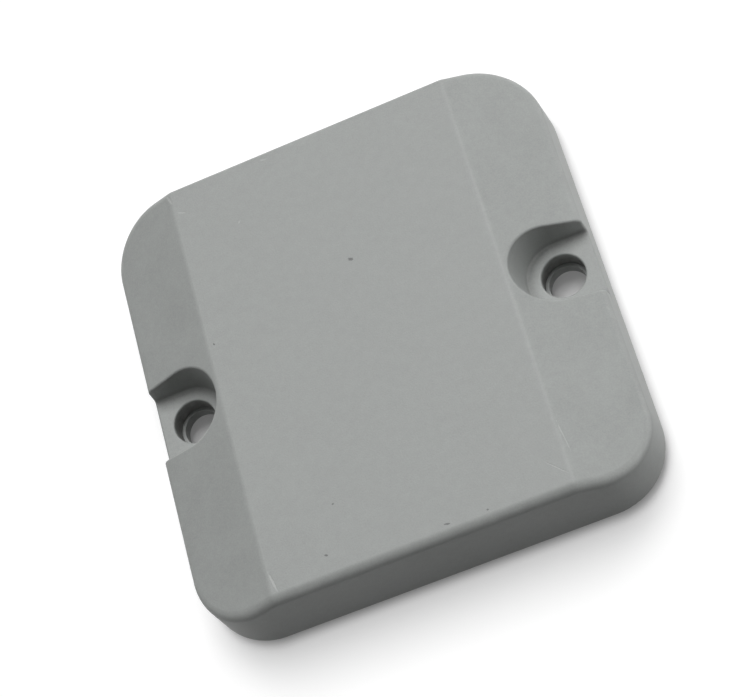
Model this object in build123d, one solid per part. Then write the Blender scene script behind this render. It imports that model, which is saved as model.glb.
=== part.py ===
"""On-metal RFID tag, in millimetres.

Z points up, out of the grey cover. X runs through the two screw holes and Y along the two ridges.
The origin is the middle of the release liner's underside, which the tag lies on.
"""
import os
from math import radians, tan

from build123d import *

# Plan of the moulded cover, and the two wings that slope down to its sides.
side = 51.5
corner_radius = 7.2
wing_width = 9.25
draft_angle = 3.0
top_edge_round = 1.1
ridge_round = 1.2
rim_edge_round = 0.35

# Heights of the cover, one on the other: rim to pocket floor, to wing edge, to flat top.
pocket_floor_height = 3.8
pocket_side_depth = 2.2
wing_rise = 3.5

# Screw holes: the plate's hole, the wider hole in the cover and the seat round it.
hole_inset = 4.15
plate_hole_radius = 2.1
hole_step = 0.35
seat_width = 1.5
hole_edge_round = 0.2
pocket_draft = 8.0
pocket_floor_round = 0.3
pocket_edge_round = 0.25

# Walls of the cover: rim, seam groove and ledge side by side, with the plate on the ledge.
top_wall = 1.8
pocket_wall = 1.6
rim_width = 0.9
groove_width = 0.3
ledge_width = 0.9
plate_thickness = 1.5
plate_edge_round = 0.15
weld_height = 0.7
rib_width = 0.4

# Double-sided tape with its release liner, and its notch round each screw hole.
liner_thickness = 0.12
tape_adhesive_thickness = 0.08
tape_foam_thickness = 0.92
tape_margin = 1.5
tape_corner_radius = 4.8
notch_width = 2.3
notch_offset = 0.9

# Antenna: a plastic core with an inlay of film and foil wrapped round its -Y edge.
core_side_gap = 4.65
core_end_gap = 2.65
core_edge_round = 0.8
core_corner_radius = 0.8
core_pocket_clearance = 0.5
core_wing_clearance = 0.3
bond_film_thickness = 0.1
inlay_adhesive_thickness = 0.05
inlay_film_thickness = 0.1
foil_thickness = 0.05
foil_margin = 1.5
inlay_side_margin = 0.8
inlay_end_margin = 1.2
slot_width = 12.0
slot_gap = 1.4
slot_inset = 8.0

# Pins that locate the core on the plate.
pin_radius = 1.2
pin_inset = 10.0
pin_roof = 1.15
pin_clearance = 0.15

# Chip strap, which bridges the feed slot with its pads facing the foil.
strap_width = 3.0
strap_length = 8.0
strap_film_thickness = 0.1
pad_thickness = 0.03
pad_margin = 0.3
pad_gap = 0.3
joint_radius = 0.8
joint_thickness = 0.15
chip_size = 0.7
chip_thickness = 0.1
bump_size = 0.12
bump_thickness = 0.02
underfill_margin = 0.1

# Foam cushion between the antenna and the cover.
pad_adhesive_thickness = 0.05
cushion_thickness = 1.65
cushion_ridge_margin = 2.0
cushion_end_margin = 4.0
cushion_corner_radius = 2.0
window_clearance = 1.2

# Places and widths that follow.
wing_edge_height = pocket_floor_height + pocket_side_depth
cover_height = wing_edge_height + wing_rise
ridge_x = side / 2 - wing_width
hole_x = side / 2 - hole_inset
cover_hole_radius = plate_hole_radius + hole_step
pocket_floor_radius = cover_hole_radius + seat_width
plate_inset = rim_width + groove_width
cavity_inset = plate_inset + ledge_width
core_width = side - 2 * (cavity_inset + core_side_gap)
core_length = side - 2 * (cavity_inset + core_end_gap)
slot_y = slot_inset - core_length / 2
pin_y = core_length / 2 - pin_inset

# Levels up the stack, from the liner's underside to the cover's flat top.
z_liner_top = liner_thickness
z_tape_low = z_liner_top + tape_adhesive_thickness
z_tape_high = z_tape_low + tape_foam_thickness
z_rim = z_tape_high + tape_adhesive_thickness
z_plate_top = z_rim + plate_thickness
z_pocket_floor = z_rim + pocket_floor_height
z_top = z_rim + cover_height
z_ceiling = z_top - top_wall
z_cushion_top = z_ceiling - pad_adhesive_thickness
z_foil_top = z_cushion_top - cushion_thickness

# Levels of the antenna's layers, between plate and cushion, and of the strap on its foil.
wrap_thickness = inlay_adhesive_thickness + inlay_film_thickness + foil_thickness
z_bond_top = z_plate_top + bond_film_thickness
z_core = z_bond_top + wrap_thickness
z_core_top = z_foil_top - wrap_thickness
z_pin_top = z_core_top - pin_roof - pin_clearance
z_pads = z_foil_top + joint_thickness
z_strap_film = z_pads + pad_thickness
z_bumps = z_pads - bump_thickness
z_chip = z_bumps - chip_thickness

# Reach of the cutting tools past the surfaces that they cut, and the slack when points compare.
reach = cover_height
slack = 0.001


def slab(width, length, radius, z_low, z_high, taper=0.0):
    """A rounded rectangle centred on Z, raised from one level to another."""
    outline = RectangleRounded(width, length, radius)
    return extrude(Pos(0, 0, z_low) * outline, z_high - z_low, taper=taper)


def box_at(width, length, x, y, z_low, z_high):
    """A plain box centred on (x, y), between two levels."""
    return Pos(x, y, (z_low + z_high) / 2) * Box(width, length, z_high - z_low)


def rod(radius, x, y, z_low, z_high):
    """An upright cylinder at (x, y), between two levels."""
    return Pos(x, y, (z_low + z_high) / 2) * Cylinder(radius, z_high - z_low)


def both_sides(solid):
    """The piece and its mirror image across the YZ plane."""
    return solid + mirror(solid, about=Plane.YZ)


def u_tool(radius, centre_x, z_low, z_high, taper=0.0):
    """A U-shaped tool with a half-round inner end, open past the +X side."""
    straight = side / 2 + reach - centre_x
    outline = Circle(radius) + Pos(straight / 2, 0) * Rectangle(straight, 2 * radius)
    return extrude(Pos(centre_x, 0, z_low) * outline, z_high - z_low, taper=taper)


def wing_tool(lowered):
    """The wedge above the +X wing, with its ridge and slope lowered by a wall's thickness."""
    edge_x = side / 2 - wing_edge_height * tan(radians(draft_angle))
    slope = wing_rise / (edge_x - ridge_x)
    normal_drop = lowered * (1 + slope**2) ** 0.5
    far_x = edge_x + reach
    near_x = ridge_x - reach
    profile = Polyline(
        (near_x, z_top - normal_drop + slope * reach),
        (far_x, z_top - normal_drop - slope * (far_x - ridge_x)),
        (far_x, z_top + 2 * reach),
        (near_x, z_top + 2 * reach),
        close=True,
    )
    sketch = make_face(Plane.XZ * profile)
    return extrude(sketch, side / 2 + reach, both=True)


def on_top_outline(edge):
    """Whether an edge bounds the cover's top: clear of the rim, and not along a ridge."""
    middle = edge @ 0.5
    off_rim = min((edge @ 0).Z, (edge @ 1).Z) > z_rim + slack
    along_ridge = abs(middle.Y) < slack and abs(middle.X) < side / 2 - wing_width / 2
    return off_rim and not along_ridge


def cover_block():
    """The cover's outer form: drafted sides, sloping wings, rounded ridges and top edge."""
    block = slab(side, side, corner_radius, z_rim, z_top, taper=draft_angle)
    block -= both_sides(wing_tool(0))
    ridges = block.edges().filter_by(Axis.Y).group_by(Axis.Z)[-1]
    block = fillet(ridges, ridge_round)
    block = fillet(block.edges().filter_by(on_top_outline), top_edge_round)
    return fillet(block.edges().group_by(Axis.Z)[0], rim_edge_round)


def pocket_tool():
    """One screw pocket: drafted U walls down to a flat floor with a rounded corner."""
    tool = u_tool(pocket_floor_radius, hole_x, z_pocket_floor, z_top + reach, taper=-pocket_draft)
    floor_edges = tool.edges().group_by(Axis.Z)[0]
    return fillet(floor_edges, pocket_floor_round)


def screw_bores(radius, z_low, z_high):
    """Cutting tools for the two screw holes, between two levels."""
    return both_sides(rod(radius, hole_x, 0, z_low, z_high))


def pocketed_block():
    """The cover's outer form with both pockets cut and their upper edges rounded."""
    block = cover_block() - both_sides(pocket_tool())
    above_floor = z_pocket_floor + 2 * pocket_floor_round
    curved = block.edges().filter_by(GeomType.LINE, reverse=True)
    inner_ends = [e for e in curved if abs((e @ 0.5).Y) < slack and (e @ 0.5).Z > above_floor]
    return fillet(inner_ends, pocket_edge_round)


def pocket_jacket(clearance=0.0):
    """The solid round one pocket: its wall, and the boss below it down to the plate."""
    radius = pocket_floor_radius + pocket_wall + clearance
    wall = u_tool(radius, hole_x, z_pocket_floor, z_top + reach, taper=-pocket_draft)
    boss = u_tool(radius, hole_x, z_plate_top, z_pocket_floor)
    return wall + boss


def cover_cavity():
    """The space inside the cover, above the plate and round the two screw bosses."""
    inner_side = side - 2 * cavity_inset
    inner_radius = corner_radius - cavity_inset
    room = slab(inner_side, inner_side, inner_radius, z_plate_top, z_ceiling, taper=draft_angle)
    room -= both_sides(wing_tool(top_wall))
    return room - both_sides(pocket_jacket())


def top_cover():
    """The moulded cover: a shell with a ledge for the plate, two pockets and two holes."""
    recess = inset_slab(rim_width, z_rim, z_plate_top)
    cover = pocketed_block() - recess - cover_cavity() - screw_bores(cover_hole_radius, z_rim, z_top)
    circles = cover.edges().filter_by(GeomType.CIRCLE)
    mouths = [e for e in circles if abs(e.radius - cover_hole_radius) < slack]
    return fillet(ShapeList(mouths).group_by(Axis.Z)[-1], hole_edge_round)


def pins(radius, z_high):
    """The two locating pins, or with a larger radius the holes that they stand in."""
    return rod(radius, 0, pin_y, z_plate_top, z_high) + rod(radius, 0, -pin_y, z_plate_top, z_high)


def pin_holes():
    """Holes for the locating pins, with their clearance."""
    return pins(pin_radius + pin_clearance, z_pin_top + pin_clearance)


def inset_slab(inset, z_low, z_high):
    """The cover's plan drawn in by an inset all round, between two levels."""
    return slab(side - 2 * inset, side - 2 * inset, corner_radius - inset, z_low, z_high)


def seam_rib():
    """The small rib across the seam groove that centres the plate, on the +X side."""
    x = side / 2 - plate_inset
    return box_at(
        2 * groove_width, rib_width, x, 0, z_rim + plate_edge_round, z_plate_top - weld_height
    )


def back_plate():
    """The plate welded into the rim, with two screw holes, two ribs and two locating pins."""
    plate = inset_slab(plate_inset, z_rim, z_plate_top)
    plate -= screw_bores(plate_hole_radius, z_rim, z_plate_top)
    plate = fillet(plate.edges().group_by(Axis.Z)[0], plate_edge_round)
    return plate + both_sides(seam_rib()) + pins(pin_radius, z_pin_top)


def weld_bead():
    """The melted ring that fills the upper part of the seam between plate and rim."""
    z_low = z_plate_top - weld_height
    ring = inset_slab(rim_width, z_low, z_plate_top)
    return ring - inset_slab(plate_inset, z_low, z_plate_top)


def tape_layer(z_low, z_high):
    """One die-cut layer of the tape or liner, with its two notches for the screws."""
    tape_side = side - 2 * (plate_inset + tape_margin)
    notch = u_tool(plate_hole_radius + notch_width, hole_x - notch_offset, z_low, z_high)
    return slab(tape_side, tape_side, tape_corner_radius, z_low, z_high) - both_sides(notch)


def cover_clearance():
    """What the cover's pockets and wings take up, with the antenna's clearance round them."""
    jackets = both_sides(pocket_jacket(core_pocket_clearance))
    return jackets + both_sides(wing_tool(top_wall + core_wing_clearance))


def grown_core(growth, radius):
    """The core's block grown all round, with its long -Y and +Y edges rounded."""
    block = box_at(
        core_width, core_length + 2 * growth, 0, 0, z_core - growth, z_core_top + growth
    )
    return fillet(block.edges().filter_by(Axis.X), radius)


def antenna_core():
    """The plastic core, notched round the screw bosses and drilled for the pins."""
    plan = slab(core_width, core_length, core_corner_radius, z_core, z_core_top)
    return (grown_core(0, core_edge_round) & plan) - cover_clearance() - pin_holes()


def wrap_layer(inner, outer, side_margin, end_margin):
    """One layer of the inlay, wrapped from the top round the -Y edge to the underside."""
    shell = grown_core(outer, core_edge_round + outer) - grown_core(inner, core_edge_round + inner)
    kept = box_at(
        core_width - 2 * side_margin,
        core_length + reach,
        0,
        -reach / 2 - end_margin,
        z_core - reach,
        z_core_top + reach,
    )
    return (shell & kept) - cover_clearance() - pin_holes()


def inlay_adhesive():
    """The adhesive between the core and the wrapped film."""
    return wrap_layer(0, inlay_adhesive_thickness, inlay_side_margin, inlay_end_margin)


def inlay_film():
    """The polyester film that carries the antenna foil."""
    inner = inlay_adhesive_thickness
    return wrap_layer(inner, inner + inlay_film_thickness, inlay_side_margin, inlay_end_margin)


def antenna_foil():
    """The patch, the short round the edge and the ground, with the feed slot in the patch."""
    inner = inlay_adhesive_thickness + inlay_film_thickness
    foil = wrap_layer(inner, wrap_thickness, foil_margin, foil_margin + inlay_end_margin)
    return foil - box_at(slot_width, slot_gap, 0, slot_y, z_core_top, z_foil_top + reach)


def core_bond_film():
    """The double-sided film that holds the wrapped core on the plate."""
    film = box_at(
        core_width - 2 * foil_margin,
        core_length - 2 * (foil_margin + inlay_end_margin),
        0,
        0,
        z_plate_top,
        z_bond_top,
    )
    return film - cover_clearance() - pin_holes()


def along_strap(solid):
    """The piece on the strap's +Y half and its mirror image across the slot."""
    return solid + mirror(solid, about=Plane.XZ.offset(-slot_y))


def pad_span():
    """Start and end of the +Y pad, measured from the middle of the slot."""
    return pad_gap / 2, strap_length / 2 - pad_margin


def strap_pads():
    """The two metal pads of the strap."""
    near, far = pad_span()
    pad = box_at(
        strap_width - 2 * pad_margin, far - near, 0, slot_y + (near + far) / 2, z_pads, z_strap_film
    )
    return along_strap(pad)


def strap_film():
    """The strap's carrier film, above its pads."""
    return box_at(
        strap_width, strap_length, 0, slot_y, z_strap_film, z_strap_film + strap_film_thickness
    )


def strap_joints():
    """The two dots of conductive glue between the foil and the pads."""
    far = pad_span()[1]
    y = slot_y + (slot_gap / 2 + far) / 2
    return along_strap(rod(joint_radius, 0, y, z_foil_top, z_pads))


def chip_bumps():
    """The two metal bumps between chip and pads."""
    y = slot_y + pad_gap / 2 + bump_size / 2
    return along_strap(box_at(bump_size, bump_size, 0, y, z_bumps, z_pads))


def chip_die():
    """The chip, face up under the pads."""
    return box_at(chip_size, chip_size, 0, slot_y, z_chip, z_bumps)


def chip_underfill():
    """The adhesive between chip and strap, round the bumps and the chip's flanks."""
    size = chip_size + 2 * underfill_margin
    fill = box_at(size, size, 0, slot_y, z_chip, z_pads)
    return fill - chip_die() - chip_bumps()


def cushion(z_low, z_high):
    """The cushion's plan between two levels, with its window round the strap."""
    width = 2 * (ridge_x - cushion_ridge_margin)
    length = core_length - 2 * cushion_end_margin
    pad = slab(width, length, cushion_corner_radius, z_low, z_high)
    window = box_at(
        strap_width + 2 * window_clearance,
        strap_length + 2 * window_clearance,
        0,
        slot_y,
        z_low,
        z_high,
    )
    return pad - window - cover_clearance()


pieces = {
    "top_cover": top_cover,
    "back_plate": back_plate,
    "weld_bead": weld_bead,
    "tape_upper_adhesive": lambda: tape_layer(z_tape_high, z_rim),
    "tape_foam": lambda: tape_layer(z_tape_low, z_tape_high),
    "tape_lower_adhesive": lambda: tape_layer(z_liner_top, z_tape_low),
    "release_liner": lambda: tape_layer(0, z_liner_top),
    "core_bond_film": core_bond_film,
    "antenna_foil": antenna_foil,
    "inlay_film": inlay_film,
    "inlay_adhesive": inlay_adhesive,
    "antenna_core": antenna_core,
    "strap_joints": strap_joints,
    "strap_pads": strap_pads,
    "strap_film": strap_film,
    "chip_bumps": chip_bumps,
    "chip_underfill": chip_underfill,
    "chip_die": chip_die,
    "foam_pad": lambda: cushion(z_foil_top, z_cushion_top),
    "foam_pad_adhesive": lambda: cushion(z_cushion_top, z_ceiling),
}

os.makedirs("parts", exist_ok=True)
for name, make in pieces.items():
    export_step(make(), f"parts/{name}.step")
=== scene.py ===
# %% [markdown]
# # On-metal RFID tag
# A flat grey moulded tag, held on a metal object by two screws or by its taped back. The packed
# CAD model is the fixed frame: every piece here goes where that model says, in metres, so nothing
# is fitted by eye. This lesson gives each piece its real surface.

# %% Load the frame
from math import cos, pi, radians, sin

import bmesh
import bpy
from mathutils import Matrix, Vector


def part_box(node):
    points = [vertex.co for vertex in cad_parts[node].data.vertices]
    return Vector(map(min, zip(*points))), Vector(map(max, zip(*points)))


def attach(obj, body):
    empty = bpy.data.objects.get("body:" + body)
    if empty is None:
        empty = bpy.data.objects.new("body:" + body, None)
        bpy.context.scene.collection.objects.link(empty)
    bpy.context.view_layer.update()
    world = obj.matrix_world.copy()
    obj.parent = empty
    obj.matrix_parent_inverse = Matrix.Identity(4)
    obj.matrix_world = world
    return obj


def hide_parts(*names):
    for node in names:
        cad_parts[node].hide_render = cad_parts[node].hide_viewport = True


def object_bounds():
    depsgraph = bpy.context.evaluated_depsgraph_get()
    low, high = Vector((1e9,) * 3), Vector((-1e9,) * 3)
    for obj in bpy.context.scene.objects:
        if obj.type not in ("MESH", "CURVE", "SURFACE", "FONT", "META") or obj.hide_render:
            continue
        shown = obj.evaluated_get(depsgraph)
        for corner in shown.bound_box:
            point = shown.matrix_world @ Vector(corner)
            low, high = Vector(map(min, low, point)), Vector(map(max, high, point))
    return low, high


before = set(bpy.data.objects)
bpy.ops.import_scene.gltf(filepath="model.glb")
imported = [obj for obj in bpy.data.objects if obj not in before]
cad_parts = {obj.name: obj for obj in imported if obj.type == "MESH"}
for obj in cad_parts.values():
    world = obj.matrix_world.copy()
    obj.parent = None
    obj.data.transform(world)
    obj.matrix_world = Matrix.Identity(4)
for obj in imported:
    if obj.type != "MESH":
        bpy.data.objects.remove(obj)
cad_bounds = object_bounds()
MM = 0.001

# %% [markdown]
# The sizes that the patterns below follow are read from the model's own pieces where a box gives
# them. The few that a box can't give, such as the ridges, repeat the CAD source's values, in
# millimetres.

# %% Measure the pieces
cover_low, cover_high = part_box("top_cover")
tape_low, tape_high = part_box("tape_foam")
liner_low, liner_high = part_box("release_liner")
bead_low, bead_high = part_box("weld_bead")
cushion_low, cushion_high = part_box("foam_pad")
SIDE = 51.5
CORNER_RADIUS = 7.2
RIDGE_X = 16.5
HOLE_X = 21.6
HOLE_RADIUS = 2.45
SEAT_RADIUS = 3.95
SEAT_Z = 5.0
SEAM_WIDTH = 0.3
TOP_Z = cover_high.z / MM
RIM_Z = cover_low.z / MM
print("cover from", round(RIM_Z, 2), "to", round(TOP_Z, 2), "mm")

# %% [markdown]
# Shader nodes are quick to lose track of when each one is placed by hand. Small helpers add a
# node, join a socket to it or write a plain value, and return what it puts out. The ones for sums
# are all made by one function, so a formula below reads almost as it would on paper.


# %% Helpers for node trees
def wire(tree, value, socket):
    """Join another node's output to a socket, or write a plain value in it."""
    if isinstance(value, bpy.types.NodeSocket):
        tree.links.new(value, socket)
    else:
        socket.default_value = value


def add(tree, kind, inputs=(), **settings):
    """A new node with its settings made and its inputs joined or written."""
    node = tree.nodes.new(kind)
    for name, value in settings.items():
        setattr(node, name, value)
    for key, value in dict(inputs).items():
        wire(tree, value, node.inputs[key])
    return node


def out_of(tree, kind, inputs=(), **settings):
    """The first output of a new node."""
    return add(tree, kind, inputs, **settings).outputs[0]


def sums(operation, kind="ShaderNodeMath", result=0):
    """A maker of Math nodes of one kind: it takes a tree and the values to work on."""
    def work_out(tree, *values, **settings):
        node = add(tree, kind, enumerate(values), operation=operation, **settings)
        return node.outputs[result]
    return work_out


plus, minus, times, over = sums("ADD"), sums("SUBTRACT"), sums("MULTIPLY"), sums("DIVIDE")
larger, smaller, size_of, root = sums("MAXIMUM"), sums("MINIMUM"), sums("ABSOLUTE"), sums("SQRT")
sine, whole = sums("SINE"), sums("FLOOR")
VECTORS = "ShaderNodeVectorMath"
moved, away_from = sums("ADD", VECTORS), sums("SUBTRACT", VECTORS)
stretched, folded = sums("MULTIPLY", VECTORS), sums("ABSOLUTE", VECTORS)
unit, length_of = sums("NORMALIZE", VECTORS), sums("LENGTH", VECTORS, 1)
share_along = sums("DOT_PRODUCT", VECTORS, 1)

# %% [markdown]
# A second set of helpers names what nearly every finish needs: a soft step, a colour laid over
# another, and noise whose size is given in millimetres. Every made tree tells its name and its
# number of nodes.


# %% Helpers for patterns
def scaled(tree, vector, number):
    """A vector or a colour multiplied by a number."""
    return out_of(tree, VECTORS, {0: vector, "Scale": number}, operation="SCALE")


def parts(tree, vector):
    """A vector's X, Y and Z."""
    return add(tree, "ShaderNodeSeparateXYZ", {0: vector}).outputs


def ramp(tree, value, low, high, from_value=0.0, to_value=1.0):
    """A soft step: from_value up to low, to_value from high on."""
    inputs = {0: value, 1: low, 2: high, 3: from_value, 4: to_value}
    return out_of(tree, "ShaderNodeMapRange", inputs, interpolation_type="SMOOTHSTEP")


def clouded(tree, value, low=0.0, high=1.0):
    """Noise, which lies round a half, spread out from low to high."""
    return ramp(tree, value, 0.3, 0.7, low, high)


def blend_colour(tree, amount, first, second):
    """The second colour laid over the first by an amount from 0 to 1."""
    inputs = {0: amount, 6: first, 7: second}
    return add(tree, "ShaderNodeMix", inputs, data_type="RGBA").outputs[2]


def noise(tree, point, size, detail=2.0, roughness=0.5, distortion=0.0):
    """Noise whose lumps are about size across, in the point's unit, as a number round a half."""
    scale = over(tree, 1.0, size) if isinstance(size, bpy.types.NodeSocket) else 1 / size
    inputs = {"Vector": point, "Scale": scale, "Detail": detail, "Roughness": roughness,
              "Distortion": distortion}
    return add(tree, "ShaderNodeTexNoise", inputs).outputs["Fac"]


def start_group(name, inputs, outputs):
    """An empty shader group with named sockets: (its tree, its inputs, its output node)."""
    tree = bpy.data.node_groups.new(name, "ShaderNodeTree")
    kinds = {"float": "NodeSocketFloat", "vector": "NodeSocketVector", "colour": "NodeSocketColor"}
    for label, kind, value in inputs:
        socket = tree.interface.new_socket(label, in_out="INPUT", socket_type=kinds[kind])
        if value is not None:
            socket.default_value = value
    for label, kind in outputs:
        tree.interface.new_socket(label, in_out="OUTPUT", socket_type=kinds[kind])
    return tree, tree.nodes.new("NodeGroupInput").outputs, tree.nodes.new("NodeGroupOutput")


def told(tree):
    """Prints what a made tree is, and hands it on."""
    print("tree:", tree.name, "| nodes:", len(tree.nodes))
    return tree


def place(tree, group, **inputs):
    """A group placed in a material. Its input names are written with _ for a space."""
    node = add(tree, "ShaderNodeGroup", node_tree=group)
    for name, value in inputs.items():
        wire(tree, value, node.inputs[name.replace("_", " ")])
    return node.outputs


# %% [markdown]
# The patterns are drawn in millimetres, the unit that grain and scuffs are thought of in. One
# group turns a piece's own Object coordinates into millimetres, so no pattern needs a UV map and
# none slides when the piece moves. It gives the surface's direction too.


# %% Place on the piece, in millimetres
def make_place_group():
    tree, _, out = start_group("place on the piece", [],
                               [("Point", "vector"), ("Facing", "vector")])
    coordinates = add(tree, "ShaderNodeTexCoord").outputs
    wire(tree, scaled(tree, coordinates["Object"], 1 / MM), out.inputs["Point"])
    wire(tree, coordinates["Normal"], out.inputs["Facing"])
    return tree


place_group = told(make_place_group())

# %% [markdown]
# Moulded plastic shows the steel that shaped it. A spark-eroded mould leaves a fine even grain, a
# tenth to a fifth of a millimetre across, and the melt cools unevenly, which leaves very faint
# clouds of tone a few millimetres wide. Bump alone would make a flat grey look like a drawing, so
# the group gives a tone, a roughness and a height that all vary, each at its own scale.


# %% Moulded grain
def make_grain_group():
    tree, given, out = start_group(
        "moulded grain",
        [("Point", "vector", None), ("Colour", "colour", (0.3, 0.3, 0.3, 1)),
         ("Grain Size", "float", 0.16), ("Cloud Size", "float", 7.0), ("Cloud", "float", 0.05),
         ("Speckle", "float", 0.05), ("Roughness", "float", 0.55)],
        [("Colour", "colour"), ("Roughness", "float"), ("Height", "float")])
    point = given["Point"]
    fine = noise(tree, point, given["Grain Size"], 3.0, 0.55)
    cloud = noise(tree, point, given["Cloud Size"], 4.0, 0.6, 0.6)
    mottle = noise(tree, point, 0.8, 3.0, 0.6)
    wide_tone = times(tree, minus(tree, cloud, 0.5), given["Cloud"])
    middle_tone = times(tree, minus(tree, mottle, 0.5), times(tree, given["Cloud"], 0.5))
    fine_tone = times(tree, minus(tree, fine, 0.5), given["Speckle"])
    all_tones = plus(tree, plus(tree, wide_tone, middle_tone), fine_tone)
    tone = plus(tree, 1.0, times(tree, 2.0, all_tones))
    wire(tree, scaled(tree, given["Colour"], tone), out.inputs["Colour"])
    uneven = times(tree, minus(tree, cloud, 0.5), 0.22)
    glint = times(tree, minus(tree, fine, 0.5), 0.16)
    rough = plus(tree, given["Roughness"], plus(tree, uneven, glint))
    wire(tree, rough, out.inputs["Roughness"])
    wire(tree, fine, out.inputs["Height"])
    return tree


grain_group = told(make_grain_group())

# %% [markdown]
# A moulded edge is the first place that rubs on its neighbours in a bag of parts. The rubbed spots
# are paler, a little smoother, and broken: they come and go along the edge. The group takes any
# mask of where an edge is and breaks it up with two sizes of noise.


# %% Rubbed edges
def make_rub_group():
    tree, given, out = start_group(
        "rubbed edge",
        [("Point", "vector", None), ("Edge", "float", 0.0), ("Patch Size", "float", 2.5),
         ("Amount", "float", 0.5)],
        [("Mask", "float")])
    patches = noise(tree, given["Point"], given["Patch Size"], 5.0, 0.65, 0.8)
    broken = ramp(tree, patches, 0.50, 0.66)
    fine = ramp(tree, noise(tree, given["Point"], 0.25, 3.0), 0.35, 0.65, 0.5, 1.0)
    rubbed = times(tree, times(tree, broken, fine), given["Edge"])
    wire(tree, times(tree, rubbed, given["Amount"], use_clamp=True), out.inputs["Mask"])
    return tree


rub_group = told(make_rub_group())

# %% [markdown]
# The photographed tag has a few single marks: dark specks of burnt resin in the surface, and pale
# nicks and hairline scratches near two corners. Each is one small ellipse with a ragged border,
# turned to its own angle, so one group draws them all.


# %% Single marks
def make_mark_group():
    tree, given, out = start_group(
        "single mark",
        [("Point", "vector", None), ("Centre", "vector", (0, 0, 0)), ("Long", "float", 0.3),
         ("Wide", "float", 0.3), ("Turn", "float", 0.0)],
        [("Mask", "float")])
    offset = away_from(tree, given["Point"], given["Centre"])
    turned = out_of(tree, "ShaderNodeVectorRotate", {"Vector": offset, "Angle": given["Turn"]},
                    rotation_type="Z_AXIS")
    at = parts(tree, turned)
    along = over(tree, at["X"], given["Long"])
    across = over(tree, at["Y"], given["Wide"])
    ragged = times(tree, minus(tree, noise(tree, given["Point"], 0.35, 3.0), 0.5), 1.3)
    squared = plus(tree, times(tree, along, along), times(tree, across, across))
    depth = times(tree, size_of(tree, at["Z"]), 0.8)
    apart = plus(tree, plus(tree, root(tree, squared), depth), ragged)
    wire(tree, ramp(tree, apart, 0.55, 1.1, 1.0, 0.0), out.inputs["Mask"])
    return tree


mark_group = told(make_mark_group())

# %% [markdown]
# The table has to be dark right under the tag, whose outline is a rounded square. Its distance
# field is short in nodes: fold the point into one quadrant, step in from the corner's centre, and
# measure. The group tells how far inside the outline a point lies.


# %% Distance in from a rounded square
def make_inset_group():
    tree, given, out = start_group(
        "inset from outline",
        [("Point", "vector", None), ("Half Side", "float", SIDE / 2),
         ("Corner Radius", "float", CORNER_RADIUS)],
        [("Inset", "float")])
    at = parts(tree, folded(tree, given["Point"]))
    start = minus(tree, given["Half Side"], given["Corner Radius"])
    past_x = minus(tree, at["X"], start)
    past_y = minus(tree, at["Y"], start)
    out_x = larger(tree, past_x, 0.0)
    out_y = larger(tree, past_y, 0.0)
    corner = root(tree, plus(tree, times(tree, out_x, out_x), times(tree, out_y, out_y)))
    inner = smaller(tree, larger(tree, past_x, past_y), 0.0)
    inset = minus(tree, given["Corner Radius"], plus(tree, corner, inner))
    wire(tree, inset, out.inputs["Inset"])
    return tree


inset_group = told(make_inset_group())

# %% [markdown]
# Painted shade darkens the recesses: the corner between a pocket's wall and its floor, and the
# walls of the screw hole, more so lower down. The pocket is a U, so its distance field is short
# too:
# fold the point to one side, stop the slot's middle line at the hole, and measure from there.


# %% Painted shade in the pockets
def make_pocket_shade_group():
    tree, given, out = start_group("painted shade in the pockets", [("Point", "vector", None)],
                                   [("Mask", "float")])
    at = parts(tree, given["Point"])
    past = minus(tree, size_of(tree, at["X"]), HOLE_X)
    inward = smaller(tree, past, 0.0)
    across = times(tree, at["Y"], at["Y"])
    apart = root(tree, plus(tree, times(tree, inward, inward), across))
    to_wall = size_of(tree, minus(tree, apart, SEAT_RADIUS))
    above = size_of(tree, minus(tree, at["Z"], SEAT_Z))
    corner = ramp(tree, plus(tree, to_wall, above), 0.1, 1.1, 0.34, 0.0)
    from_hole = root(tree, plus(tree, times(tree, past, past), across))
    in_hole = ramp(tree, from_hole, HOLE_RADIUS + 0.05, HOLE_RADIUS + 0.25, 1.0, 0.0)
    inside = times(tree, in_hole, ramp(tree, at["Z"], SEAT_Z - 1.2, SEAT_Z - 0.1, 0.75, 0.0))
    patchy = clouded(tree, noise(tree, given["Point"], 0.7, 4.0, 0.65), 0.55, 1.0)
    painted_shade = times(tree, larger(tree, corner, inside), patchy, use_clamp=True)
    wire(tree, painted_shade, out.inputs["Mask"])
    return tree


pocket_shade_group = told(make_pocket_shade_group())

# %% [markdown]
# Every finish ends in the same way: one Principled shader with its plain numbers written on its
# own sockets, and a Bump node whose height is in millimetres. This helper sets that up, so each
# finish below only says what is special about it.


# %% A finish and its shader
def start_finish(name):
    """A new material: (material, tree, the piece's point in mm, its facing)."""
    material = bpy.data.materials.new(name)
    material.use_nodes = True
    tree = material.node_tree
    tree.nodes.clear()
    print("finish:", name)
    where = place(tree, place_group)
    return material, tree, where["Point"], where["Facing"]


def end_finish(tree, colour, roughness, height, height_mm, **plain):
    """The Principled shader, its bump of so many millimetres, and the material's output."""
    inputs = {"Base Color": colour, "Roughness": roughness}
    inputs |= {label.replace("_", " "): value for label, value in plain.items()}
    relief = {"Strength": 1.0, "Distance": height_mm * MM, "Height": height}
    inputs["Normal"] = out_of(tree, "ShaderNodeBump", relief)
    shader = out_of(tree, "ShaderNodeBsdfPrincipled", inputs)
    add(tree, "ShaderNodeOutputMaterial", {"Surface": shader})
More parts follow.
